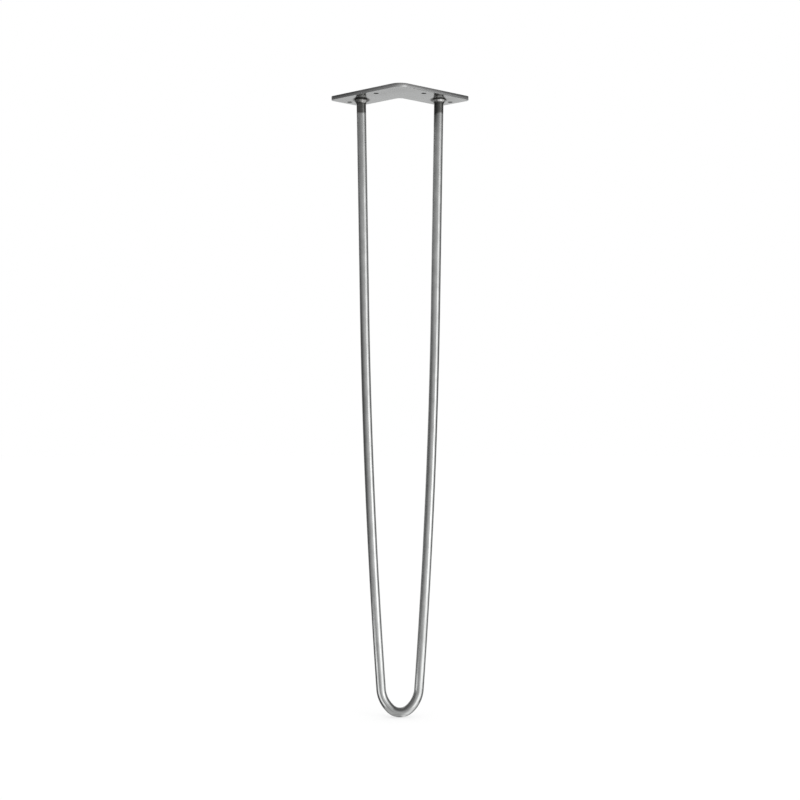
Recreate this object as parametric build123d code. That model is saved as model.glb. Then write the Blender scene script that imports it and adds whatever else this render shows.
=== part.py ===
from build123d import *
import os
from math import atan2, cos, degrees, hypot, radians, sin, sqrt

# Two-rod hairpin table leg: one bent steel bar welded under an L-shaped screw plate.
# Millimetres, +Z up. The origin lies on the plate's table-side face, where the centrelines
# of its two wings cross. The plate's outer corner points to -Y, its wings run back to
# either side, and the bar hangs below them down to the floor.

# Overall sizes: the splay leans the hairpin out towards the plate's outer corner, in degrees
overall_height = 710.0
splay_angle = 2.5

# Bent bar: radii are those of its centreline, and the foot's bend is in degrees
rod_diameter = 11.0
foot_radius = 15.6
foot_angle = 81.0
haunch_radius = 32.6
bow_radius = 8200.0
straight_run = 235.0

# Screw plate: a wing's length runs along its outer edge, from the sharp outer corner
plate_thickness = 4.5
wing_length = 115.7
wing_width = 47.5
outer_corner_radius = 12.5
inner_corner_radius = 6.0
wing_end_radius = 6.5
edge_break = 0.35

# Screw holes, and where the bar's arms stand on the wings
hole_diameter = 6.0
corner_hole_reach = 48.5
corner_hole_inset = 10.5
end_hole_margin = 9.5
rod_end_margin = 28.7

# Weld beads: how far each climbs the bar and spreads over the plate, and its face's hollow
weld_climb = 5.0
weld_spread = 2.5
weld_hollow = 0.35

# Right-angled wings lie at half a right angle to either side of the Y axis
wing_turn = 45.0

# Worked out from the sizes above
rod_radius = rod_diameter / 2
half_width = wing_width / 2
wing_tip = wing_length - half_width
half_spacing = (wing_tip - rod_end_margin) * cos(radians(wing_turn))
hairpin_drop = (overall_height - plate_thickness - rod_radius) / cos(radians(splay_angle))
underside = Plane((0, 0, -plate_thickness))

# The hairpin's own plane starts midway between the arms on the plate's underside. Its X runs
# to the right arm, and its Y runs up the hairpin.
hairpin_plane = Plane(
    origin=(0, half_spacing, -plate_thickness),
    x_dir=(1, 0, 0),
    z_dir=(0, -cos(radians(splay_angle)), sin(radians(splay_angle))),
)


def circles_meet(center_a: Vector, radius_a: float, center_b: Vector, radius_b: float) -> Vector:
    """Return the leftmost of the two points where a pair of circles cross."""
    apart = center_b - center_a
    along = (radius_a**2 - radius_b**2 + apart.length**2) / (2 * apart.length)
    across = sqrt(radius_a**2 - along**2)
    middle = center_a + apart.normalized() * along
    offset = apart.normalized().rotate(Axis.Z, 90) * across
    return min(middle + offset, middle - offset, key=lambda point: point.X)


def arm_path() -> list[Edge]:
    """Return the right half of the bar's centreline, from the foot up to its seat on the plate."""
    floor_point = Vector(0, -hairpin_drop)
    seat = Vector(half_spacing, 0)
    foot_turn = foot_angle / 2
    foot = JernArc(floor_point, (1, 0), foot_radius, foot_turn)
    haunch_center = foot @ 1 + (foot % 1).rotate(Axis.Z, 90) * haunch_radius
    # The bow touches the haunch from outside, and ends one straight run short of the seat.
    bow_center = circles_meet(
        seat, hypot(bow_radius, straight_run), haunch_center, bow_radius - haunch_radius
    )
    to_haunch = haunch_center - bow_center
    to_seat = seat - bow_center
    haunch_tilt = -degrees(atan2(to_haunch.Y, to_haunch.X))
    seat_tilt = degrees(atan2(straight_run, bow_radius) - atan2(to_seat.Y, to_seat.X))
    haunch = JernArc(foot @ 1, foot % 1, haunch_radius, 90 - foot_turn - haunch_tilt)
    bow = JernArc(haunch @ 1, haunch % 1, bow_radius, haunch_tilt - seat_tilt)
    return [foot, haunch, bow, Line(bow @ 1, seat)]


def hairpin_rod() -> Part:
    """Return the bent bar, with both ends cut flush with the plate's underside."""
    foot, haunch, bow, run = arm_path()
    # Each arm first runs on past its seat, so that the cut takes off its whole end.
    long_run = Line(run @ 0, run @ 1 + run % 1 * rod_diameter)
    half = [foot, haunch, bow, long_run]
    path = hairpin_plane * Wire(half + [edge.mirror(Plane.YZ) for edge in half])
    bar = sweep(Plane(path @ 0, z_dir=path % 0) * Circle(rod_radius), path=path)
    return split(bar, bisect_by=underside, keep=Keep.BOTTOM)


def mounting_plate() -> Part:
    """Return the L-shaped plate, drawn with its wings along X and Y and then turned into place."""
    outer = (-half_width, -half_width)
    inner = (half_width, half_width)
    ends = [(wing_tip, -half_width), (wing_tip, half_width)]
    mirrored_ends = [(y, x) for x, y in reversed(ends)]
    outline = make_face(Polyline(outer, *ends, inner, *mirrored_ends, close=True))
    rounds = [(outer, outer_corner_radius), (inner, inner_corner_radius)]
    rounds += [(end, wing_end_radius) for end in ends + mirrored_ends]
    for corner, radius in rounds:
        outline = fillet(outline.vertices().sort_by_distance(corner)[0], radius)
    corner_hole = (corner_hole_reach - half_width, corner_hole_inset - half_width)
    end_hole = (wing_tip - end_hole_margin, 0)
    for x, y in (corner_hole, end_hole):
        outline -= Pos(x, y) * Circle(hole_diameter / 2)
        outline -= Pos(y, x) * Circle(hole_diameter / 2)
    plate = extrude(outline, amount=-plate_thickness)
    faces = plate.faces().sort_by(Axis.Z)
    rims = faces[0].outer_wire().edges() + faces[-1].outer_wire().edges()
    return Rot(Z=wing_turn) * fillet(rims, edge_break)


def right_weld() -> Part:
    """Return the fillet bead round the right arm's end, turned about that arm's axis."""
    run = hairpin_plane * arm_path()[-1]
    toe_on_rod = Vector(rod_radius, -weld_climb)
    toe_on_plate = Vector(rod_radius + weld_spread, 0)
    # The arm leans, so the flank first runs on above the plate and is then cut flush with it.
    flank_end = toe_on_plate + (toe_on_plate - toe_on_rod)
    flank = SagittaArc(toe_on_rod, toe_on_plate, weld_hollow)
    back = Polyline(toe_on_plate, flank_end, (rod_radius, flank_end.Y), toe_on_rod)
    section = make_face(flank + back)
    bead = revolve(Plane.XZ * section, Axis.Z)
    return split(Plane(run @ 1, z_dir=run % 1) * bead, bisect_by=underside, keep=Keep.BOTTOM)


bead = right_weld()
nodes = {
    "hairpin_rod": hairpin_rod(),
    "mounting_plate": mounting_plate(),
    "left_weld": mirror(bead, Plane.YZ),
    "right_weld": bead,
}

os.makedirs("parts", exist_ok=True)
for name, node in nodes.items():
    export_step(node, f"parts/{name}.step")
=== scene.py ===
"""Dresses a two-rod hairpin table leg: bare bent bar, L-shaped screw plate and two weld beads.

Every length is in metres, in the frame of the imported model: the origin lies on the plate's
table-side face, +Z is up, -Y points to the plate's outer corner and the camera.
"""
import logging
from dataclasses import dataclass
from enum import Enum
from itertools import accumulate
from math import atan2, cos, hypot, pi, radians, sin, sqrt
from typing import NamedTuple

import bmesh
import bpy
from bpy.types import ID, Material, Mesh, Node, NodeSocket, NodeTree, Object
from mathutils import Matrix, Vector
from mathutils.geometry import delaunay_2d_cdt
from numpy import interp


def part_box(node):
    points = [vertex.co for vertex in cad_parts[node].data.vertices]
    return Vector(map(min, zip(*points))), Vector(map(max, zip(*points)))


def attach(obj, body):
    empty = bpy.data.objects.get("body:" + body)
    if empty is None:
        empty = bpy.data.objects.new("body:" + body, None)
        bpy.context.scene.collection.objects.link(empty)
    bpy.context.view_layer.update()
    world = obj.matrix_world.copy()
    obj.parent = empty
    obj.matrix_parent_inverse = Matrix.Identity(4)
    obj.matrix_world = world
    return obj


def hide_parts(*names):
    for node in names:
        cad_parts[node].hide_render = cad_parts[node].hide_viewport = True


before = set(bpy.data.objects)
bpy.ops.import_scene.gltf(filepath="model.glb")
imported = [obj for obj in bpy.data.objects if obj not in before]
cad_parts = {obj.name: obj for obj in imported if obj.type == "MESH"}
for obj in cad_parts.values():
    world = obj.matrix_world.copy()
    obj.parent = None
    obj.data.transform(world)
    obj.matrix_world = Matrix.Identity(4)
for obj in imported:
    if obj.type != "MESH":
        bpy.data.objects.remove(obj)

LOG = logging.getLogger("hairpin_leg")
MM = 0.001
BODY = "root"
Triple = tuple[float, float, float]
Color = Triple
WHITE: Color = (1.0, 1.0, 1.0)
Feeds = dict[str | int, object]


class Side(Enum):
    """The two arms of the hairpin, as the camera sees them."""

    LEFT = -1
    RIGHT = 1


class Slot(Enum):
    """The record's material slots."""

    ROD = "rod_steel"
    PLATE = "plate_steel"
    WELD = "weld_steel"


class Field:
    """A number in a node tree, which plain arithmetic extends by Math nodes."""

    def __init__(self, graph: "Graph", socket: NodeSocket) -> None:
        """Remember the tree under construction and the output socket that carries the number."""
        self.graph = graph
        self.socket = socket

    def __add__(self, other: "Number") -> "Field":
        """Return the sum."""
        return self.graph.math("ADD", self, other)

    def __sub__(self, other: "Number") -> "Field":
        """Return the difference."""
        return self.graph.math("SUBTRACT", self, other)

    def __rsub__(self, other: "Number") -> "Field":
        """Return the difference, with this number taken away."""
        return self.graph.math("SUBTRACT", other, self)

    def __mul__(self, other: "Number") -> "Field":
        """Return the product."""
        return self.graph.math("MULTIPLY", self, other)

    def __truediv__(self, other: "Number") -> "Field":
        """Return the quotient."""
        return self.graph.math("DIVIDE", self, other)

    def op(self, operation: str, other: "Number" = 0.0) -> "Field":
        """Return the result of another of the Math node's operations."""
        return self.graph.math(operation, self, other)


Number = Field | float | int


class Graph:
    """A node tree under construction, with short calls for the nodes that this object needs."""

    def __init__(self, tree: NodeTree) -> None:
        """Hold the shader or geometry node tree that the calls extend."""
        self.tree = tree

    def add(self, kind: str, feeds: Feeds | None = None, **settings: object) -> Node:
        """Add a node.

        Args:
            kind: The node's type name.
            feeds: What goes into its inputs, by their names or numbers.
            settings: Properties to set on it first.

        Returns:
            The new node.
        """
        node = self.tree.nodes.new(kind)
        for name, value in settings.items():
            setattr(node, name, value)
        for key, value in (feeds or {}).items():
            self.feed(node.inputs[key], value)
        return node

    def feed(self, socket: NodeSocket, value: object) -> None:
        """Link a field or a socket to an input, or set the input's own value.

        Args:
            socket: The input socket.
            value: A Field, an output socket or a plain value.
        """
        source = value.socket if isinstance(value, Field) else value
        if isinstance(source, NodeSocket):
            self.tree.links.new(source, socket)
        else:
            socket.default_value = (*value, 1.0) if socket.type == "RGBA" else value

    def math(self, operation: str, first: Number, second: Number = 0.0) -> Field:
        """Return the result of a Math node on one or two numbers."""
        node = self.add("ShaderNodeMath", {0: first, 1: second}, operation=operation)
        return Field(self, node.outputs[0])

    def split(self, vector: NodeSocket) -> tuple[Field, Field, Field]:
        """Return a vector's three parts."""
        node = self.add("ShaderNodeSeparateXYZ", {0: vector})
        return tuple(Field(self, output) for output in node.outputs)

    def join(self, x: Number, y: Number, z: Number) -> NodeSocket:
        """Return a vector of three parts."""
        return self.add("ShaderNodeCombineXYZ", {0: x, 1: y, 2: z}).outputs[0]

    def scaled(self, vector: NodeSocket, factors: Triple) -> NodeSocket:
        """Return a vector with each part multiplied by its own factor."""
        return self.add("ShaderNodeVectorMath", {0: vector, 1: factors}, operation="MULTIPLY").outputs[0]

    def noise(self, vector: NodeSocket, scale: float, detail: float = 2.0) -> Field:
        """Return noise from 0 to 1, with so many waves to a unit and octaves of finer noise on top."""
        node = self.add("ShaderNodeTexNoise", {"Vector": vector, "Scale": scale, "Detail": detail})
        return Field(self, node.outputs[0])

    def ramp(self, value: Number, low: float, high: float, start: float = 0.0, end: float = 1.0) -> Field:
        """Return a smooth step from start to end while the value goes from low to high."""
        feeds = {"Value": value, "From Min": low, "From Max": high, "To Min": start, "To Max": end}
        return Field(self, self.add("ShaderNodeMapRange", feeds, interpolation_type="SMOOTHSTEP").outputs[0])

    def blend(self, share: Number, first: Color | NodeSocket, second: Color | NodeSocket) -> NodeSocket:
        """Return a mix of two colours, with this share of the second one."""
        # A Mix node's colour sockets come after those for numbers and vectors.
        return self.add("ShaderNodeMix", {0: share, 6: first, 7: second}, data_type="RGBA").outputs[2]

    def stored_number(self, name: str) -> Field:
        """Return a number that the mesh stores at its points."""
        return Field(self, self.add("ShaderNodeAttribute", attribute_name=name).outputs["Fac"])

    def stored_vector(self, name: str) -> NodeSocket:
        """Return a vector that the mesh stores at its points."""
        return self.add("ShaderNodeAttribute", attribute_name=name).outputs["Vector"]

    def place(self) -> NodeSocket:
        """Return the object coordinates."""
        return self.add("ShaderNodeTexCoord").outputs["Object"]

    def bumped(self, height: Number, distance: float) -> NodeSocket:
        """Return a normal that follows a height from 0 to 1, where 1 is so many metres."""
        return self.add("ShaderNodeBump", {"Height": height, "Distance": distance, "Strength": 1.0}).outputs["Normal"]


SOCKETS = {float: "NodeSocketFloat", int: "NodeSocketInt", Material: "NodeSocketMaterial"}


class Recipe(Graph):
    """A geometry node tree with named inputs, which grows a plain mesh."""

    def __init__(self, name: str, values: dict[str, float | int | Material]) -> None:
        """Start the tree.

        Args:
            name: The tree's name.
            values: The value of each input, by its name.
        """
        super().__init__(bpy.data.node_groups.new(name, "GeometryNodeTree"))
        panel = self.tree.interface
        for way in ("INPUT", "OUTPUT"):
            panel.new_socket("Geometry", in_out=way, socket_type="NodeSocketGeometry")
        self.values = {}
        for label, value in values.items():
            socket = panel.new_socket(label, in_out="INPUT", socket_type=SOCKETS[type(value)])
            self.values[socket.identifier] = value
        self.given = {socket.name: socket for socket in self.add("NodeGroupInput").outputs}

    def number(self, label: str) -> Field:
        """Return an input's number."""
        return Field(self, self.given[label])

    def step(self, kind: str, geometry: NodeSocket, feeds: Feeds | None = None) -> NodeSocket:
        """Return a geometry after it has passed through a node with these other inputs."""
        return self.add(f"GeometryNode{kind}", {"Geometry": geometry} | (feeds or {})).outputs["Geometry"]

    def capture(self, geometry: NodeSocket, items: dict[str, tuple[str, object]]) -> dict[str, NodeSocket]:
        """Keep values on a geometry's points, as they are before it changes.

        Args:
            geometry: The geometry that carries them.
            items: The data type and source of each value, by its name.

        Returns:
            The sockets that put out the geometry and the values, by name.
        """
        node = self.add("GeometryNodeCaptureAttribute", {"Geometry": geometry}, domain="POINT")
        for name, (kind, value) in items.items():
            node.capture_items.new(kind, name)
            self.feed(node.inputs[name], value)
        return {socket.name: socket for socket in node.outputs}

    def store(self, geometry: NodeSocket, name: str, kind: str, value: object) -> NodeSocket:
        """Store a value on a geometry's points, under a name that materials read."""
        feeds = {"Geometry": geometry, "Name": name, "Value": value}
        return self.add("GeometryNodeStoreNamedAttribute", feeds, data_type=kind, domain="POINT").outputs[0]

    def finish(self, geometry: NodeSocket) -> None:
        """End the tree: shade smooth, realize instances and set the material of the Steel input."""
        whole = self.step("RealizeInstances", self.step("SetShadeSmooth", geometry))
        self.add("NodeGroupOutput", {"Geometry": self.step("SetMaterial", whole, {"Material": self.given["Steel"]})})

    def grow(self, name: str, seed_mesh: Mesh) -> Mesh:
        """Run the tree on a mesh.

        Args:
            name: The name of the resulting mesh.
            seed_mesh: The mesh that the tree starts from.

        Returns:
            The result as a plain mesh.
        """
        host = link_object(f"{name}_host", seed_mesh)
        modifier = host.modifiers.new(name, "NODES")
        modifier.node_group = self.tree
        for identifier, value in self.values.items():
            modifier[identifier] = value
        evaluated = host.evaluated_get(bpy.context.evaluated_depsgraph_get())
        mesh = bpy.data.meshes.new_from_object(evaluated)
        mesh.name = name
        host.modifiers.remove(modifier)
        bpy.data.objects.remove(host)
        return mesh


class Finish(Graph):
    """The node tree of a new material."""

    def __init__(self, name: str) -> None:
        """Start the material, with no nodes.

        Args:
            name: The material's name.
        """
        self.material = bpy.data.materials.new(name)
        self.material.use_nodes = True
        super().__init__(self.material.node_tree)
        self.tree.nodes.clear()

    def shown(self, surface: NodeSocket) -> Material:
        """Return the material, finished with this surface."""
        self.add("ShaderNodeOutputMaterial", {"Surface": surface})
        return self.material

    def metal(self, color: NodeSocket, roughness: Field, normal: NodeSocket, tint: object = WHITE) -> Material:
        """Return the material, finished with a metal shader that takes these inputs."""
        feeds = {"Base Color": color, "Metallic": 1.0, "Roughness": roughness, "Normal": normal, "Specular Tint": tint}
        return self.shown(self.add("ShaderNodeBsdfPrincipled", feeds).outputs[0])


@dataclass(frozen=True)
class BarSteel:
    """Bright drawn bar: faint lines along it, dull towards the weld, painted shade inside its foot, burnt dark beside
    it.
    """

    clean: Color = (0.56, 0.567, 0.563)
    dull: Color = (0.47, 0.476, 0.472)
    dull_end: float = -300.0 * MM
    # Painted shade inside the foot's bend.
    bend_shade: Color = (0.2, 0.202, 0.2)
    bend_shade_share: float = 0.65
    burnt: Color = (0.055, 0.053, 0.048)
    burn_end: float = -21.7 * MM
    burn_edge: float = 2.8 * MM
    burn_slant: float = 2.2 * MM
    burn_share: float = 0.62
    haze_end: float = -52.0 * MM
    haze_share: float = 0.06
    inner_haze_share: float = 0.5
    line_scale: float = 2600.0
    line_stretch: Triple = (1.0, 1.0, 0.012)
    patch_scale: float = 160.0
    patch_stretch: Triple = (1.0, 1.0, 0.45)
    waver_scale: float = 220.0
    roughness: float = 0.11
    relief: float = 0.012 * MM

    def material(self, seat: Vector, radius: float, bend: float, bend_radius: float) -> Material:
        """Return the bar's material, which reads the straightened bar's coordinates.

        Args:
            seat: Where the right arm's axis meets the plate.
            radius: The bar's radius.
            bend: The height that the foot is bent round.
            bend_radius: The foot's radius.

        Returns:
            The finished material.
        """
        graph = Finish("bar_steel")
        along = graph.stored_vector("bar_space")
        x, _, height = graph.split(graph.place())
        lines = graph.noise(graph.scaled(along, self.line_stretch), self.line_scale, 3.0)
        patches = graph.noise(graph.scaled(along, self.patch_stretch), self.patch_scale, 4.0)
        waver = graph.noise(along, self.waver_scale)
        # The right arm's inner side caught more of the welding heat.
        inner = graph.ramp((seat.x - x) / radius, -0.6, 1.0) * graph.ramp(x, -seat.x, seat.x)
        edge = height + (waver - 0.5) * (1.2 * self.burn_edge) + inner * inner * self.burn_slant
        burn = graph.ramp(edge, self.burn_end, self.burn_end + self.burn_edge)
        haze = graph.ramp(height, self.haze_end, self.burn_end) * (inner * self.inner_haze_share + self.haze_share)
        worked = graph.ramp(height, self.dull_end, self.burn_end)
        color = graph.blend(graph.ramp(patches + worked * 0.15, 0.35, 0.75), self.clean, self.dull)
        # Painted shade: the inside of the foot's bend is painted darker, and is made rougher too.
        rise = height - bend
        bend_shade = graph.ramp((x * x + rise * rise).op("SQRT") / bend_radius, 0.7, 1.2, self.bend_shade_share, 0.0)
        color = graph.blend(bend_shade, color, self.bend_shade)
        color = graph.blend(haze, color, self.burnt)
        color = graph.blend(burn * (waver * 0.3 - inner * 0.06 + self.burn_share), color, self.burnt)
        satin = worked * (1.0 - burn) * 0.1
        roughness = patches * 0.08 + lines * 0.05 + satin + bend_shade * 0.1 + self.roughness
        return graph.metal(color, roughness, graph.bumped(lines * 0.6 + patches * 0.4, self.relief))


@dataclass(frozen=True)
class PlateSteel:
    """Bright rolled sheet: faint grain on its faces, banded cut edges painted brighter towards the outer corner,
    painted shade in the holes, and a tint and soot round each weld, the soot also a painted dark reflection.
    """

    face: Color = (0.465, 0.476, 0.472)
    worn: Color = (0.38, 0.389, 0.385)
    cut: Color = (0.42, 0.424, 0.422)
    torn: Color = (0.22, 0.222, 0.22)
    # Painted highlight on the edges towards the outer corner.
    corner_highlight: Color = (0.62, 0.623, 0.62)
    # Painted shade on the holes' walls.
    hole_shade: Color = (0.035, 0.034, 0.032)
    tint: Color = (0.19, 0.182, 0.168)
    tint_inner: float = 7.0 * MM
    tint_outer: float = 14.0 * MM
    tint_below: float = 0.75
    tint_above: float = 0.15
    # Soot round each weld, which also serves as a painted dark reflection of the bead.
    soot: Color = (0.05, 0.048, 0.044)
    soot_inner: float = 7.6 * MM
    soot_outer: float = 10.6 * MM
    soot_waver: float = 3.0 * MM
    soot_squeeze: float = 0.26
    grain_scale: float = 2400.0
    grain_stretch: Triple = (1.0, 0.05, 1.0)
    cloud_scale: float = 38.0
    stripe_scale: float = 2200.0
    stripe_stretch: Triple = (1.0, 1.0, 0.06)
    roughness: float = 0.1
    relief: float = 0.03 * MM

    def material(self, seat: Vector, thickness: float) -> Material:
        """Return the plate's material.

        Args:
            seat: Where the right arm's axis meets the plate.
            thickness: The plate's thickness.

        Returns:
            The finished material.
        """
        graph = Finish("plate_steel")
        place = graph.place()
        x, y, z = graph.split(place)
        across = x.op("ABSOLUTE") - seat.x
        back = y - seat.y
        reach = (across * across + back * back).op("SQRT")
        tint = graph.ramp(reach, self.tint_inner, self.tint_outer, 1.0, 0.0)
        normal = graph.add("ShaderNodeNewGeometry").outputs["Normal"]
        on_edge = graph.ramp(graph.split(normal)[2].op("ABSOLUTE"), 0.5, 0.8, 1.0, 0.0)
        grain = graph.noise(graph.scaled(place, self.grain_stretch), self.grain_scale)
        clouds = graph.noise(place, self.cloud_scale, 4.0)
        stripes = graph.noise(graph.scaled(graph.stored_vector("rim_space"), self.stripe_stretch), self.stripe_scale)
        color = graph.blend(graph.ramp(clouds, 0.4, 0.7), self.face, self.worn)
        level = z / thickness
        below = graph.ramp(level, -0.9, -0.6, self.tint_below, self.tint_above)
        color = graph.blend(tint * below, color, self.tint)
        # Soot round each weld on the underside only, stretched along the hairpin's front and back: partly real soot,
        # partly a painted dark reflection where the bead's mirror image falls.
        blown = (across * across + back * back * self.soot_squeeze).op("SQRT") + (clouds - 0.5) * self.soot_waver
        soot_and_dark_reflection = graph.ramp(blown, self.soot_inner, self.soot_outer, 1.0, 0.0) * (below - self.tint_above)
        color = graph.blend(soot_and_dark_reflection, color, self.soot)
        # A cut edge is rough and dull above, and smooth and bright below.
        torn = graph.ramp(level + (stripes - 0.5) * 0.5, -0.62, -0.42)
        # Painted highlight: the edges are painted brighter towards the outer corner.
        corner_highlight = graph.ramp(y + (stripes - 0.5) * (20 * MM), -25 * MM, 45 * MM, 0.6, 0.0)
        edge_color = graph.blend(corner_highlight * (1.0 - torn * 0.4), graph.blend(torn, self.cut, self.torn), self.corner_highlight)
        # Painted shade: the holes' walls are painted near black.
        edge_color = graph.blend(graph.stored_number("hole_wall"), edge_color, self.hole_shade)
        roughness = clouds * 0.08 + grain * 0.05 + on_edge * (torn * 0.08 + 0.26) + self.roughness
        relief = grain * (1.0 - on_edge) * 0.1 + stripes * on_edge
        # The same mask also dims the grazing reflection there, a painted dark reflection that steel's own colour
        # doesn't reach.
        dimmed_reflection = graph.blend(soot_and_dark_reflection, WHITE, self.soot)
        return graph.metal(graph.blend(on_edge, color, edge_color), roughness, graph.bumped(relief, self.relief), dimmed_reflection)


@dataclass(frozen=True)
class WeldSteel:
    """Weld metal: grey, with a painted highlight on its ripple crests at the front right and in a band across the
    flank, and sooty along its toes.

    Places across the bead run from 0, its toe on the bar, to 1, its toe on the plate.
    """

    bright: Color = (0.42, 0.42, 0.41)
    grey: Color = (0.08, 0.079, 0.075)
    soot: Color = (0.035, 0.034, 0.032)
    # Painted highlight: how far it reaches round the bead, its share away from the front right, and the band across the
    # flank that it lies in.
    highlight_reach: float = 10.0 * MM
    shine: float = 0.3
    highlight_band_from: float = 0.08
    highlight_band_to: float = 0.9
    toe_from: float = 0.76
    toe_soot: float = 0.9
    speck_scale: float = 900.0
    blotch_scale: float = 260.0
    roughness: float = 0.07
    relief: float = 0.05 * MM

    def material(self, seat: Vector) -> Material:
        """Return the bead's material, which reads how far up a ripple and across the bead it is.

        Args:
            seat: Where the bead's arm meets the plate.

        Returns:
            The finished material.
        """
        graph = Finish("weld_steel")
        place = graph.place()
        x, y, _ = graph.split(place)
        crest = graph.stored_number("ripple_crest")
        across = graph.stored_number("bead_across")
        specks = graph.noise(place, self.speck_scale, 3.0)
        blotches = graph.noise(place, self.blotch_scale)
        rod_toe = graph.ramp(across - specks * 0.16, 0.02, 0.16, 1.0, 0.0)
        plate_toe = graph.ramp(across + (specks - 0.5) * 0.3, self.toe_from, 0.98)
        # Painted highlight: each bead is painted bright at its front right, the side that faces the light.
        toward_light = (x - seat.x) - (y - seat.y)
        front_right_highlight = graph.ramp(toward_light / self.highlight_reach + (blotches - 0.5) * 1.2, 0.35, 0.75, self.shine, 1.0)
        highlight_band = graph.ramp(across, self.highlight_band_from, self.highlight_band_from + 0.17)
        highlight_band *= graph.ramp(across, self.highlight_band_to - 0.22, self.highlight_band_to, 1.0, 0.0)
        # Painted highlight: ripple crests are painted bright at the front right, inside the band.
        color = graph.blend(graph.ramp(crest + specks * 0.5, 0.3, 1.0) * front_right_highlight * highlight_band, self.grey, self.bright)
        color = graph.blend((rod_toe + plate_toe).op("MINIMUM", 1.0) * self.toe_soot, color, self.soot)
        roughness = specks * 0.14 + plate_toe * 0.15 + self.roughness
        return graph.metal(color, roughness, graph.bumped(specks, self.relief))


# Painted shade and highlight differ by side: the left bead is painted darker, with a weaker painted highlight, and the
# right bead's painted highlight lies in a band close to the plate.
WELD_STEELS = {
    Side.LEFT: WeldSteel(),
    Side.RIGHT: WeldSteel(
        bright=(0.74, 0.74, 0.73), grey=(0.105, 0.104, 0.1), shine=0.5, highlight_band_from=0.36, highlight_band_to=0.97, toe_from=0.81
    ),
}


def link_object(name: str, data: ID) -> Object:
    """Put a mesh, a lamp or a camera in the scene.

    Args:
        name: The object's name.
        data: The mesh, already in place, or the lamp's or camera's data.

    Returns:
        The new object.
    """
    piece = bpy.data.objects.new(name, data)
    bpy.context.scene.collection.objects.link(piece)
    return piece


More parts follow.
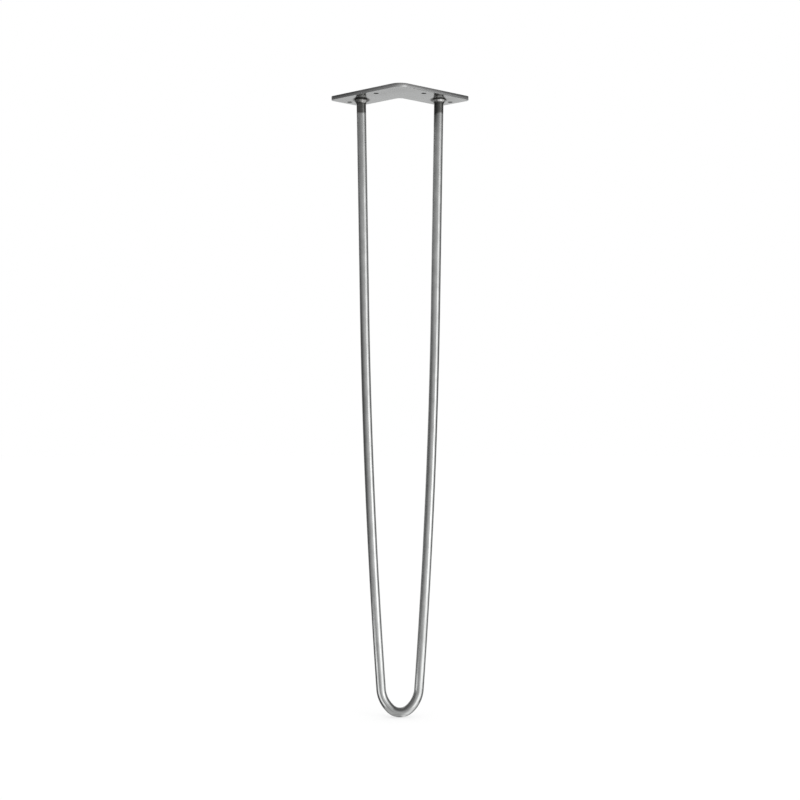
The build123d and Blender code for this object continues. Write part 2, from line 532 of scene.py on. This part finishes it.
def settle(piece: Object, slot: Slot, *nodes: str) -> None:
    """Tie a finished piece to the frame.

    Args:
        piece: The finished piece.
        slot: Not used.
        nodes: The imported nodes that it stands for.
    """
    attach(piece, BODY)
    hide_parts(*nodes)


@dataclass
class ScrewPlate:
    """The L-shaped plate: its wings lie at half a right angle to either side of the Y axis."""

    top: float
    underside: float
    wing_length: float = 115.7 * MM
    wing_width: float = 47.5 * MM
    outer_radius: float = 12.5 * MM
    inner_radius: float = 6.0 * MM
    end_radius: float = 6.5 * MM
    edge_break: float = 0.35 * MM
    hole_radius: float = 3.0 * MM
    corner_hole_reach: float = 48.5 * MM
    corner_hole_inset: float = 10.5 * MM
    end_hole_margin: float = 9.5 * MM
    rod_end_margin: float = 28.7 * MM
    corner_steps: int = 9
    break_steps: int = 4
    hole_steps: int = 48
    sharp_angle: float = radians(35.0)
    flatness: float = 0.999
    finish: PlateSteel = PlateSteel()

    @property
    def half_width(self) -> float:
        """Half of a wing's width."""
        return self.wing_width / 2

    @property
    def wing_tip(self) -> float:
        """Distance from the elbow to a wing's end."""
        return self.wing_length - self.half_width

    def turned(self, along: float, across: float) -> Vector:
        """Return a point of the plate from its places along the right and the left wing."""
        return Vector((along - across, along + across)) / sqrt(2)

    def seat(self, side: Side) -> Vector:
        """Return where an arm's axis meets the underside."""
        reach = self.turned(self.wing_tip - self.rod_end_margin, 0.0)
        return Vector((side.value * reach.x, reach.y, self.underside))

    def holes(self) -> list[Vector]:
        """Place the four screw holes.

        Returns:
            Their centres.
        """
        pairs = (
            (self.corner_hole_reach - self.half_width, self.corner_hole_inset - self.half_width),
            (self.wing_tip - self.end_hole_margin, 0.0),
        )
        return [self.turned(*place) for pair in pairs for place in (pair, pair[::-1])]

    def outline(self) -> tuple[list[Vector], list[Vector]]:
        """Trace the plate's rounded outline.

        Returns:
            The outline's points, anticlockwise from above, and the outward normal at each.
        """
        half, tip = self.half_width, self.wing_tip
        corners = [
            ((-half, -half), self.outer_radius), ((tip, -half), self.end_radius), ((tip, half), self.end_radius),
            ((half, half), self.inner_radius), ((half, tip), self.end_radius), ((-half, tip), self.end_radius),
        ]
        points, normals = [], []
        for index, (corner, radius) in enumerate(corners):
            here = self.turned(*corner)
            before = (here - self.turned(*corners[index - 1][0])).normalized()
            after = (self.turned(*corners[(index + 1) % len(corners)][0]) - here).normalized()
            turn = 1.0 if before.cross(after) > 0 else -1.0
            center = here + (after - before) * radius
            start = Vector((before.y, -before.x))
            for step in range(self.corner_steps + 1):
                angle = turn * step / self.corner_steps * pi / 2
                spoke = Matrix.Rotation(angle, 2) @ start
                points.append(center + spoke * (radius * turn))
                normals.append(spoke)
        return points, normals

    def rings(self) -> list[tuple[float, float]]:
        """Round the rim's two edges.

        Returns:
            How far in and how high each ring of the rim lies, from the top face down.
        """
        steps = [pi / 2 * index / self.break_steps for index in range(self.break_steps + 1)]
        upper = [(1 - sin(turn), self.top - self.edge_break * (1 - cos(turn))) for turn in steps]
        lower = [(1 - cos(turn), self.underside + self.edge_break * (1 - sin(turn))) for turn in steps]
        return [(inset * self.edge_break, height) for inset, height in upper + lower]

    def build(self) -> Object:
        """Make the plate's mesh: rim, hole walls and two pierced faces.

        Returns:
            The plate's object.
        """
        points, normals = self.outline()
        work = bmesh.new()
        rim = []
        for inset, height in self.rings():
            rim.append([work.verts.new((*(point - normal * inset), height)) for point, normal in zip(points, normals)])
        walls = [(upper, lower, False) for upper, lower in zip(rim, rim[1:])]
        loops = [(rim[0], rim[-1])]
        turns = [2 * pi * index / self.hole_steps for index in range(self.hole_steps)]
        spokes = [Vector((cos(turn), sin(turn))) * self.hole_radius for turn in turns]
        for center in self.holes():
            upper, lower = (
                [work.verts.new((*(center + spoke), height)) for spoke in spokes]
                for height in (self.top, self.underside)
            )
            walls.append((upper, lower, True))
            loops.append((upper, lower))
        for upper, lower, inward in walls:
            for index in range(len(upper)):
                quad = (upper[index - 1], lower[index - 1], lower[index], upper[index])
                work.faces.new(quad[::-1] if inward else quad)
        for level in (0, 1):
            self.pierced_face(work, [pair[level] for pair in loops], facing_up=level == 0)
        mesh = bpy.data.meshes.new("mounting_plate_skin")
        work.normal_update()
        work.to_mesh(mesh)
        work.free()
        mesh.set_sharp_from_angle(angle=self.sharp_angle)
        for polygon in mesh.polygons:
            polygon.use_smooth = abs(polygon.normal.z) < self.flatness
        self.mark_rim(mesh, points)
        return link_object("mounting_plate_skin", mesh)

    def pierced_face(self, work: bmesh.types.BMesh, loops: list[list[bmesh.types.BMVert]], facing_up: bool) -> None:
        """Fill the flat face between the outline and the holes.

        Args:
            work: The mesh under construction.
            loops: The outline, then the holes.
            facing_up: Whether the face looks up.
        """
        verts = [vert for loop in loops for vert in loop]
        edges, start = [], 0
        for loop in loops:
            edges += [(start + index, start + (index + 1) % len(loop)) for index in range(len(loop))]
            start += len(loop)
        flat = [vert.co.to_2d() for vert in verts]
        inside_only, smallest_gap = 1, 1e-9
        _, _, triangles, sources, *_ = delaunay_2d_cdt(flat, edges, [], inside_only, smallest_gap)
        for triangle in triangles:
            corners = [verts[sources[index][0]] for index in triangle]
            middle = sum((vert.co.to_2d() for vert in corners), Vector((0.0, 0.0))) / 3
            if min((middle - hole).length for hole in self.holes()) > self.hole_radius:
                work.faces.new(corners if facing_up else corners[::-1])

    def mark_rim(self, mesh: Mesh, points: list[Vector]) -> None:
        """Store which points bound a hole, and where the others lie round the rim.

        The rim's length is wrapped on a circle, so that no seam shows.

        Args:
            mesh: The plate's mesh, whose first points are the rim's rings.
            points: The outline.
        """
        lengths = [(after - here).length for here, after in zip(points, points[1:] + points[:1])]
        *runs, total = accumulate(lengths, initial=0.0)
        radius = total / (2 * pi)
        rim_count = len(points) * len(self.rings())
        hole_shade, wrapped = [], []
        for vert in mesh.vertices:
            on_rim = vert.index < rim_count
            turn = runs[vert.index % len(points)] / radius if on_rim else 0.0
            wrapped += (radius * cos(turn), radius * sin(turn), vert.co.z)
            hole_shade.append(0.0 if on_rim else 1.0)
        mesh.attributes.new("rim_space", "FLOAT_VECTOR", "POINT").data.foreach_set("vector", wrapped)
        mesh.attributes.new("hole_wall", "FLOAT", "POINT").data.foreach_set("value", hole_shade)

    def dress(self, piece: Object) -> None:
        """Give the plate its steel and tie it to the frame."""
        piece.data.materials.append(self.finish.material(self.seat(Side.RIGHT), self.top - self.underside))
        settle(piece, Slot.PLATE, "mounting_plate")


@dataclass
class HairpinBar:
    """The bent bar: straight arms that bow inwards, wide haunches and a tight foot."""

    plate: ScrewPlate
    floor: float
    splay: float = radians(2.5)
    radius: float = 5.5 * MM
    foot_radius: float = 15.6 * MM
    foot_angle: float = radians(81.0)
    haunch_radius: float = 32.6 * MM
    bow_radius: float = 8200.0 * MM
    straight_run: float = 235.0 * MM
    foot_steps: int = 28
    haunch_steps: int = 36
    bow_steps: int = 70
    run_steps: int = 24
    ring_segments: int = 72
    sharp_angle: float = radians(40.0)
    finish: BarSteel = BarSteel()

    @property
    def drop(self) -> float:
        """Length of the centreline's plane from the plate down to the foot."""
        return (self.plate.underside - self.floor - self.radius) / cos(self.splay)

    def bends(self) -> list[tuple[float, float, int]]:
        """Work out the right arm's bends, so that it ends on its seat.

        Returns:
            Radius, turn in radians and number of steps of each bend, from the foot up.
        """
        seat = Vector((self.plate.seat(Side.RIGHT).x, 0.0))
        turn = self.foot_angle / 2
        spoke = Vector((-sin(turn), cos(turn)))
        haunch = Vector((0.0, self.foot_radius - self.drop)) + spoke * (self.haunch_radius - self.foot_radius)
        far, near = hypot(self.bow_radius, self.straight_run), self.bow_radius - self.haunch_radius
        apart = haunch - seat
        along = (far**2 - near**2 + apart.length_squared) / (2 * apart.length)
        side = Vector((apart.y, -apart.x)).normalized() * sqrt(far**2 - along**2)
        center = seat + apart.normalized() * along + side
        haunch_tilt = -atan2(haunch.y - center.y, haunch.x - center.x)
        seat_tilt = atan2(self.straight_run, self.bow_radius) - atan2(seat.y - center.y, seat.x - center.x)
        return [
            (self.foot_radius, turn, self.foot_steps),
            (self.haunch_radius, pi / 2 - turn - haunch_tilt, self.haunch_steps),
            (self.bow_radius, haunch_tilt - seat_tilt, self.bow_steps),
        ]

    def arm(self) -> list[Vector]:
        """Trace the right half of the centreline in the hairpin's own plane.

        Returns:
            Points from the foot up to the seat.
        """
        points, heading = [Vector((0.0, -self.drop))], 0.0
        for radius, turn, steps in self.bends():
            center = points[-1] + Vector((-sin(heading), cos(heading))) * radius
            for step in range(1, steps + 1):
                angle = heading + turn * step / steps
                points.append(center + Vector((sin(angle), -cos(angle))) * radius)
            heading += turn
        way = Vector((cos(heading), sin(heading))) * self.straight_run
        start = points[-1]
        return points + [start + way * (step / self.run_steps) for step in range(1, self.run_steps + 1)]

    def lifted(self, point: Vector, side: Side) -> Vector:
        """Return a point of the hairpin's plane in the frame, for either arm."""
        up = Vector((0.0, sin(self.splay), cos(self.splay)))
        return Vector((side.value * point.x, *self.plate.seat(side).yz)) + up * point.y

    def lean(self) -> Vector:
        """Return the right arm's direction at its seat, pointing up."""
        low, high = self.arm()[-2:]
        return (self.lifted(high, Side.RIGHT) - self.lifted(low, Side.RIGHT)).normalized()

    def path_mesh(self) -> Mesh:
        """Chain the whole centreline.

        Returns:
            Its edges, from the left seat to the right one.
        """
        arm = self.arm()
        line = [self.lifted(point, Side.LEFT) for point in reversed(arm[1:])]
        line += [self.lifted(point, Side.RIGHT) for point in arm]
        mesh = bpy.data.meshes.new("hairpin_path")
        mesh.from_pydata(line, [(index, index + 1) for index in range(len(line) - 1)], [])
        return mesh

    def build(self) -> Object:
        """Sweep the bar along its centreline by geometry nodes.

        Returns:
            The bar's object.
        """
        bend = self.floor + self.radius + self.foot_radius
        values = {
            "Rod Radius": self.radius,
            "Ring Segments": self.ring_segments,
            "Underside": self.plate.underside,
            "Steel": self.finish.material(self.plate.seat(Side.RIGHT), self.radius, bend, self.foot_radius),
        }
        recipe = Recipe("swept_bar", values)
        given = recipe.given
        curve = recipe.add("GeometryNodeMeshToCurve", {"Mesh": given["Geometry"]}).outputs["Curve"]
        run = recipe.add("GeometryNodeSplineParameter").outputs["Length"]
        end = recipe.add("GeometryNodeCurveEndpointSelection").outputs["Selection"]
        marked = recipe.capture(curve, {"Run": ("FLOAT", run), "End": ("BOOLEAN", end)})
        size = {"Resolution": given["Ring Segments"], "Radius": given["Rod Radius"]}
        ring = recipe.add("GeometryNodeCurvePrimitiveCircle", size).outputs["Curve"]
        position = recipe.add("GeometryNodeInputPosition").outputs["Position"]
        spokes = recipe.capture(ring, {"Spoke": ("VECTOR", position)})
        curves = {"Curve": marked["Geometry"], "Profile Curve": spokes["Geometry"], "Fill Caps": True}
        swept = recipe.add("GeometryNodeCurveToMesh", curves).outputs["Mesh"]
        # Both ends are cut flush with the plate's underside.
        x, y, _ = recipe.split(position)
        flush = recipe.join(x, y, recipe.number("Underside"))
        cut = recipe.step("SetPosition", swept, {"Selection": marked["End"], "Position": flush})
        spoke_x, spoke_y, _ = recipe.split(spokes["Spoke"])
        straightened = recipe.join(spoke_x, spoke_y, Field(recipe, marked["Run"]))
        recipe.finish(recipe.store(cut, "bar_space", "FLOAT_VECTOR", straightened))
        mesh = recipe.grow("hairpin_rod_skin", self.path_mesh())
        mesh.set_sharp_from_angle(angle=self.sharp_angle)
        return link_object("hairpin_rod_skin", mesh)

    def dress(self, piece: Object) -> None:
        """Tie the bar to the frame: its steel came with its sweep."""
        settle(piece, Slot.ROD, "hairpin_rod")


@dataclass
class WeldBead:
    """A rippled fillet bead round one arm's end."""

    bar: HairpinBar
    side: Side
    finish: WeldSteel
    climb: float = 5.0 * MM
    spread: float = 2.5 * MM
    hollow: float = 0.35 * MM
    lobe: float = 0.28
    wander: float = 0.5
    spread_waves: float = 1.3
    climb_waves: float = 2.1
    ripples: int = 23
    ripple_height: float = 0.25 * MM
    ripple_lag: float = 0.55
    ripple_drift: float = 1.2
    seed: float = 3.7
    flank_share: float = 0.75
    around: int = 276
    across: int = 40
    merge_gap: float = 0.001 * MM
    sharp_angle: float = radians(60.0)

    @property
    def node(self) -> str:
        """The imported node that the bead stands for."""
        return f"{self.side.name.lower()}_weld"

    def sizes(self) -> dict[str, float]:
        """Name the tree's measures.

        Returns:
            The value of each, by its input's name.
        """
        return {
            "Rod Radius": self.bar.radius,
            "Climb": self.climb,
            "Spread": self.spread,
            "Hollow": self.hollow,
            "Lobe": self.side.value * self.lobe,
            "Wander": self.wander,
            "Ripples": float(self.ripples),
            "Ripple Height": self.ripple_height,
            "Seed": self.seed * self.side.value,
        }

    def recipe(self) -> Recipe:
        """Build the tree that folds a grid into a rippled ring, upright at the origin.

        Returns:
            The finished tree.
        """
        counts = {"Around": self.around + 1, "Across": self.across + 1}
        steel = {"Steel": self.finish.material(self.bar.plate.seat(self.side))}
        recipe = Recipe(f"{self.node}_ripples", self.sizes() | counts | steel)
        rod, climb, spread, hollow, lobe, wander, ripples, height, seed = map(recipe.number, self.sizes())
        given = recipe.given
        size = {"Size X": 1.0, "Size Y": 1.0, "Vertices X": given["Around"], "Vertices Y": given["Across"]}
        grid = recipe.add("GeometryNodeMeshGrid", size).outputs["Mesh"]
        x, y, _ = recipe.split(recipe.add("GeometryNodeInputPosition").outputs["Position"])
        around, loop = x + 0.5, y + 0.5
        turn = around * (2 * pi)
        cosine, sine = turn.op("COSINE"), turn.op("SINE")
        # The first three quarters of the section's loop are the open flank, from the toe on the
        # bar to the toe on the plate. The rest runs back along the plate and down the bar.
        flank = (loop / self.flank_share).op("MINIMUM", 1.0)
        back = ((loop - self.flank_share) / (1.0 - self.flank_share)).op("MAXIMUM", 0.0)
        circle = recipe.join(cosine, sine, seed)
        drift = recipe.noise(circle, self.spread_waves, 1.0) - 0.5
        spread_here = spread * (drift * wander + lobe * cosine + 1.0)
        climb_here = climb * ((recipe.noise(circle, self.climb_waves, 1.0) - 0.5) * wander + 1.0)
        belly = flank * (1.0 - flank) * 4.0
        phase = around * ripples + belly * self.ripple_lag + drift * self.ripple_drift
        crest = (phase * pi).op("SINE").op("ABSOLUTE")
        lift = belly.op("SQRT") * crest * height - belly * hollow
        slope = (spread * spread + climb * climb).op("SQRT")
        out = rod + spread_here * flank * (1.0 - back * 2.0).op("MAXIMUM", 0.0) + lift * (climb / slope)
        down = climb_here * (flank - 1.0) - lift * (spread / slope) - climb_here * (back * 2.0 - 1.0).op("MAXIMUM", 0.0)
        fields = {"ripple_crest": crest, "bead_across": flank - back}
        kept = recipe.capture(grid, {label: ("FLOAT", value) for label, value in fields.items()})
        folded = recipe.join(out * cosine, out * sine, down)
        mesh = recipe.step("SetPosition", kept["Geometry"], {"Position": folded})
        for label in fields:
            mesh = recipe.store(mesh, label, "FLOAT", kept[label])
        recipe.finish(recipe.step("MergeByDistance", mesh, {"Distance": self.merge_gap}))
        return recipe

    def build(self) -> Object:
        """Grow the bead, set it on its seat, leaning with its arm, and turn its faces outwards.

        Returns:
            The bead's object.
        """
        mesh = self.recipe().grow(f"{self.node}_bead", bpy.data.meshes.new("bead_seed"))
        lean = self.bar.lean()
        shear = Matrix.Identity(4)
        shear[0][2] = self.side.value * lean.x / lean.z
        shear[1][2] = lean.y / lean.z
        mesh.transform(Matrix.Translation(self.bar.plate.seat(self.side)) @ shear)
        work = bmesh.new()
        work.from_mesh(mesh)
        bmesh.ops.recalc_face_normals(work, faces=work.faces)
        work.to_mesh(mesh)
        work.free()
        mesh.set_sharp_from_angle(angle=self.sharp_angle)
        return link_object(f"{self.node}_bead", mesh)

    def dress(self, piece: Object) -> None:
        """Tie the bead to the frame: its steel came with its tree."""
        settle(piece, Slot.WELD, self.node)


def bearing(azimuth: float) -> Vector:
    """Return the level direction at an azimuth in degrees, from the camera to the right."""
    turn = radians(azimuth)
    return Vector((sin(turn), -cos(turn), 0.0))


class Row(NamedTuple):
    """One row of a card: where it lies, its share of the card's tone and what is added to that."""

    distance: float
    height: float
    share: float = 1.0
    lift: float = 0.0


def wall(distance: float, *rows: tuple[float, ...]) -> tuple[Row, ...]:
    """Return upright rows at one distance from the leg, each from its height, share and lift."""
    return tuple(Row(distance, *row) for row in rows)


def sheet(height: float, *rows: tuple[float, ...]) -> tuple[Row, ...]:
    """Return flat rows at one height above the floor, each from its distance, share and lift."""
    return tuple(Row(distance, height, *rest) for distance, *rest in rows)


@dataclass(frozen=True)
class Card:
    """A self-lit grey studio card, bent round the leg, that bare steel mirrors and the camera doesn't see.

    Its rows run from the bottom up or outwards. Its tones give azimuth in degrees, from the
    camera to the right, and brightness, which changes evenly from one to the next.
    """

    name: str
    rows: tuple[Row, ...]
    tones: tuple[tuple[float, float], ...]
    middle: float = 0.0
    steps: int = 48

    def build(self, floor: float, material: Material) -> None:
        """Stand the card on the floor, or lay it there.

        Args:
            floor: The floor's height.
            material: The cards' material, which reads each point's tone.
        """
        start, end = self.tones[0][0], self.tones[-1][0]
        azimuths = [start + (end - start) * step / self.steps for step in range(self.steps + 1)]
        spokes = [bearing(azimuth) for azimuth in azimuths]
        verts, tones = [], []
        for row in self.rows:
            verts += [spoke * row.distance + Vector((0.0, self.middle, floor + row.height)) for spoke in spokes]
            tones += list(interp(azimuths, *zip(*self.tones)) * row.share + row.lift)
        width = len(spokes)
        corners = [row * width + step for row in range(len(self.rows) - 1) for step in range(self.steps)]
        mesh = bpy.data.meshes.new(self.name)
        mesh.from_pydata(verts, [], [(i, i + 1, width + i + 1, width + i) for i in corners])
        mesh.attributes.new("tone", "FLOAT", "POINT").data.foreach_set("value", tones)
        mesh.materials.append(material)
        card = link_object(self.name, mesh)
        card.visible_camera = card.visible_diffuse = card.visible_shadow = False


# How far cards that lie on the floor, and the small one under the foot, are held above it.
ON_FLOOR = 1.0 * MM
AT_FOOT = 0.5 * MM
CARDS = (
    Card(
        "room_card",
        wall(1.95, (0.0, 1.35), (0.12, 1.25), (0.32, 1.02), (0.62, 0.95), (0.85, 0.64, 0.27), (1.05, 0.52, 0.33),
             (1.25, 0.5, 0.12), (1.9, 0.4, 0.12)),
        ((-100, 0.15), (-72, 0.14), (-56, 0.25), (-30, 0.43), (0, 0.66), (20, 0.8), (60, 0.85), (82, 0.62),
         (102, 0.35)),
    ),
    Card(
        "soft_box_card",
        wall(1.69, (0.01, 1.0), (0.2, 1.0), (0.46, 0.88), (0.7, 0.7), (0.9, 0.74), (1.11, 0.82)),
        ((33, 1.4), (35, 2.2), (60, 2.2), (63, 1.65), (77, 1.4)),
    ),
    Card(
        "front_floor_card",
        sheet(ON_FLOOR, (0.03,), (1.9,)),
        ((-46, 0.8), (-36, 0.45), (-30, 0.38), (-5, 0.55), (20, 1.0), (38, 1.65), (52, 1.75), (72, 1.45), (88, 0.95)),
    ),
    Card(
        "left_near_floor_card",
        sheet(ON_FLOOR, (0.03,), (0.6,)),
        ((-92, 0.12), (-83, 1.15), (-62, 1.6), (-46, 0.8)),
    ),
    Card("left_far_floor_card", sheet(ON_FLOOR, (0.75,), (1.95,)), ((-100, 0.24), (-56, 0.42), (-46, 0.48))),
    Card("left_high_card", wall(1.9, (1.06,), (1.8,)), ((-120, 0.5), (-75, 0.6))),
    Card(
        "left_back_card",
        sheet(ON_FLOOR, (0.03, 0.9), (0.5, 0.9)) + wall(0.5, (0.4, 0.9), (0.95, 1.1, 0.04)),
        ((-158, 0.95), (-138, 0.8), (-128, 0.22), (-98, 0.08), (-92, 0.08)),
    ),
    Card(
        "right_back_card",
        sheet(ON_FLOOR, (0.045, 1.35), (0.5, 1.35)) + wall(0.5, (0.18, 1.2), (0.36, 0.9), (0.95, 1.1, 0.04)),
        ((91, 0.16), (105, 0.17), (128, 0.2), (142, 0.5), (158, 0.65)),
    ),
    Card(
        "back_card",
        wall(2.5, (0.0, 0.45), (0.1, 0.7), (0.21, 1.0), (0.34, 1.4), (1.3, 1.1)),
        ((158, 0.66), (202, 0.6)),
    ),
    Card("low_back_card", sheet(ON_FLOOR, (0.03,), (0.5,)) + wall(0.5, (0.1,)), ((158, 0.45), (202, 0.4))),
    # Painted shadow: this card is dark close to the foot's contact, standing in for the contact shadow that the steel
    # mirrors.
    Card(
        "under_foot_card",
        sheet(AT_FOOT, (0.0005, 0.12), (0.0018, 0.2), (0.0035, 0.4), (0.006, 0.62), (0.009, 0.5), (0.013, 0.68),
              (0.05, 0.66)),
        ((0, 0.9), (25, 1.3), (42, 1.7), (68, 1.7), (84, 0.85), (100, 0.35), (255, 0.35), (285, 0.9), (360, 0.9)),
        middle=0.014,
    ),
    Card("roof_card", sheet(1.9, (0.001,), (1.95,)), ((0, 0.28), (360, 0.28))),
)


@dataclass
class Studio:
    """White surroundings, a pale floor, one tall soft light, grey cards and the camera."""

    floor: float
    seat_depth: float
    camera_distance: float = 1.741
    camera_height: float = -0.3506
    lens: float = 67.95
    sensor_width: float = 36.0
    light_azimuth: float = 47.0
    light_distance: float = 1.7
    light_size: tuple[float, float] = (0.8, 1.1)
    light_height: float = -0.15
    light_radiance: float = 1.7
    floor_radius: float = 8.0
    floor_segments: int = 96
    floor_paint: Color = (0.35, 0.35, 0.35)
    floor_glow: float = 0.66
    cards: tuple[Card, ...] = CARDS

    def world(self) -> None:
        """Surround the leg with plain white."""
        world = bpy.context.scene.world = bpy.data.worlds.new("white_surround")
        world.use_nodes = True
        background = next(node for node in world.node_tree.nodes if node.type == "BACKGROUND")
        background.inputs["Color"].default_value = (*WHITE, 1.0)

    def floor_material(self) -> Material:
        """Make the floor's white, which keeps a soft shadow and can be looked through from below.

        Returns:
            The finished material.
        """
        graph = Finish("pale_floor")
        rays = graph.add("ShaderNodeLightPath").outputs
        camera, glossy, passed = (Field(graph, rays[f"Is {ray} Ray"]) for ray in ("Camera", "Glossy", "Transmission"))
        paint = graph.add("ShaderNodeBsdfDiffuse", {"Color": self.floor_paint}).outputs[0]
        glow = graph.add("ShaderNodeEmission", {"Strength": (camera + glossy + passed) * self.floor_glow}).outputs[0]
        both = graph.add("ShaderNodeAddShader", {0: paint, 1: glow}).outputs[0]
        behind = graph.add("ShaderNodeNewGeometry").outputs["Backfacing"]
        clear = graph.add("ShaderNodeBsdfTransparent").outputs[0]
        return graph.shown(graph.add("ShaderNodeMixShader", {0: behind, 1: both, 2: clear}).outputs[0])

    def card_material(self) -> Material:
        """Return the cards' grey, which each point's own tone sets."""
        graph = Finish("grey_card")
        return graph.shown(graph.add("ShaderNodeEmission", {"Strength": graph.stored_number("tone")}).outputs[0])

    def lay_floor(self) -> None:
        """Lay a wide round floor under the foot."""
        work = bmesh.new()
        bmesh.ops.create_circle(work, cap_ends=True, segments=self.floor_segments, radius=self.floor_radius)
        mesh = bpy.data.meshes.new("studio_floor")
        work.to_mesh(mesh)
        work.free()
        mesh.transform(Matrix.Translation((0.0, 0.0, self.floor)))
        mesh.materials.append(self.floor_material())
        link_object("studio_floor", mesh)

    def hang_light(self) -> None:
        """Hang the tall soft light in front of the leg, on its right."""
        light = bpy.data.lights.new("soft_light", "AREA")
        light.shape = "RECTANGLE"
        light.size, light.size_y = self.light_size
        light.energy = self.light_radiance * pi * light.size * light.size_y
        lamp = link_object("soft_light", light)
        away = bearing(self.light_azimuth)
        lamp.location = away * self.light_distance + Vector((0.0, 0.0, self.light_height))
        lamp.rotation_euler = away.to_track_quat("Z", "Y").to_euler()
        lamp.visible_camera = lamp.visible_glossy = False

    def set_camera(self) -> None:
        """Stand the camera level, straight in front of the leg."""
        data = bpy.data.cameras.new("camera")
        data.sensor_width = self.sensor_width
        data.lens = self.lens
        camera = link_object("camera", data)
        camera.location = (0.0, self.seat_depth - self.camera_distance, self.camera_height)
        camera.rotation_euler = (pi / 2, 0.0, 0.0)
        bpy.context.scene.camera = camera

    def build(self) -> None:
        """Set up the whole studio."""
        bpy.context.scene.view_settings.view_transform = "Standard"
        self.world()
        self.lay_floor()
        material = self.card_material()
        for card in self.cards:
            card.build(self.floor, material)
        self.hang_light()
        self.set_camera()


def main() -> None:
    """Build the leg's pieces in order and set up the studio."""
    logging.basicConfig(level=logging.INFO, format="%(message)s")
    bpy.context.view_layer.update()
    plate_low, plate_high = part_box("mounting_plate")
    bar_low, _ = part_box("hairpin_rod")
    plate = ScrewPlate(top=plate_high.z, underside=plate_low.z)
    bar = HairpinBar(plate, floor=bar_low.z)
    beads = [WeldBead(bar, side, WELD_STEELS[side]) for side in Side]
    for maker in (plate, bar, *beads):
        piece = maker.build()
        maker.dress(piece)
        LOG.info("%s: %d faces", piece.name, len(piece.data.polygons))
    Studio(floor=bar_low.z, seat_depth=plate.seat(Side.RIGHT).y).build()


if __name__ == "__main__":
    main()
